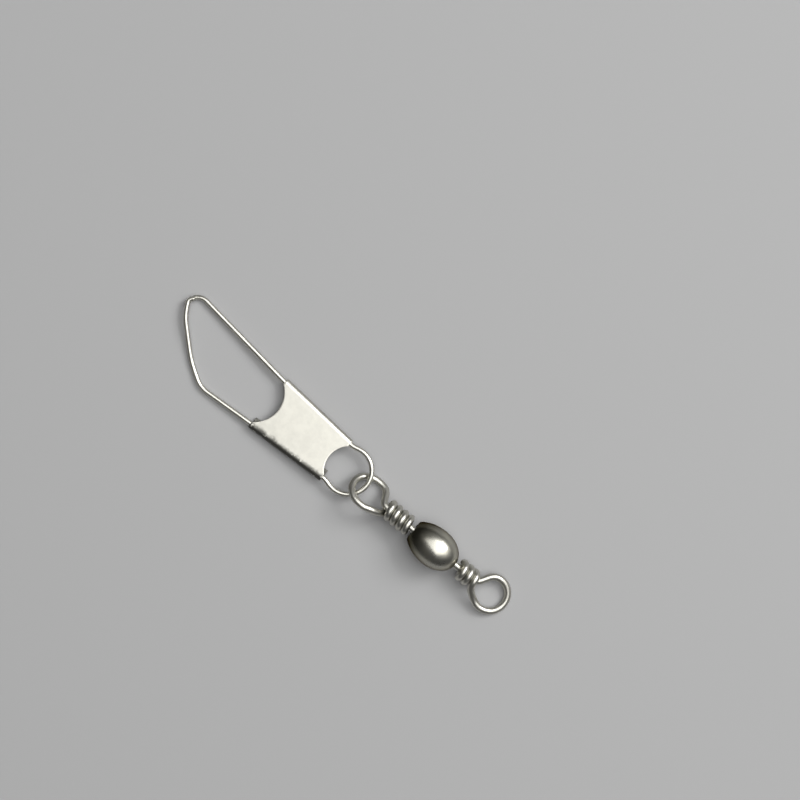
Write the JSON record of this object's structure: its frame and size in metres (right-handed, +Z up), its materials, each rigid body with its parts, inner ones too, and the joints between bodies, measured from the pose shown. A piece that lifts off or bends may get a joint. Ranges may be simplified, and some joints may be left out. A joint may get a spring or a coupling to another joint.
{
  "type": "fishing snap swivel",
  "caption": "Barrel swivel with wound wire eyes and an interlocking wire snap under a folded lock plate, joining a fishing line to a lure or hook.",
  "frame": {"origin": "on the surface it lies on, under the middle of the whole part's box", "axes": "+X runs along the swivel from the snap's nose to the line eye, +Z is up from the surface it lies on, +Y is across, towards the snap's fixed leg"},
  "size_m": [0.052, 0.0088, 0.0047],
  "materials": {
    "barrel_metal": "brass with a glossy black nickel plating",
    "eye_wire": "drawn brass wire with a glossy black nickel plating",
    "snap_steel": "bright nickel plated spring wire",
    "plate_steel": "satin nickel plated sheet with worn edges"
  },
  "bodies": {
    "snap": {"snap_wire": "snap_steel", "lock_plate": "plate_steel"},
    "snap_eye": {"snap_eye": "eye_wire"},
    "barrel": {"barrel": "barrel_metal"},
    "line_eye": {"line_eye": "eye_wire"}
  },
  "joints": [
    {"name": "link_swing", "type": "hinge", "parent": "snap", "child": "snap_eye", "pos_m": [0.00147, -0.00042, 0.00131], "axis": [0, 0, 1], "range_deg": [-80, 80]},
    {"name": "barrel_spin", "type": "hinge", "parent": "snap_eye", "child": "barrel", "pos_m": [0.01499, -0.00078, 0.00235], "axis": [1, 0, 0], "continuous": true},
    {"name": "line_spin", "type": "hinge", "parent": "barrel", "child": "line_eye", "pos_m": [0.01783, -0.00078, 0.00235], "axis": [0.9709, 0, -0.2396], "continuous": true}
  ]
}
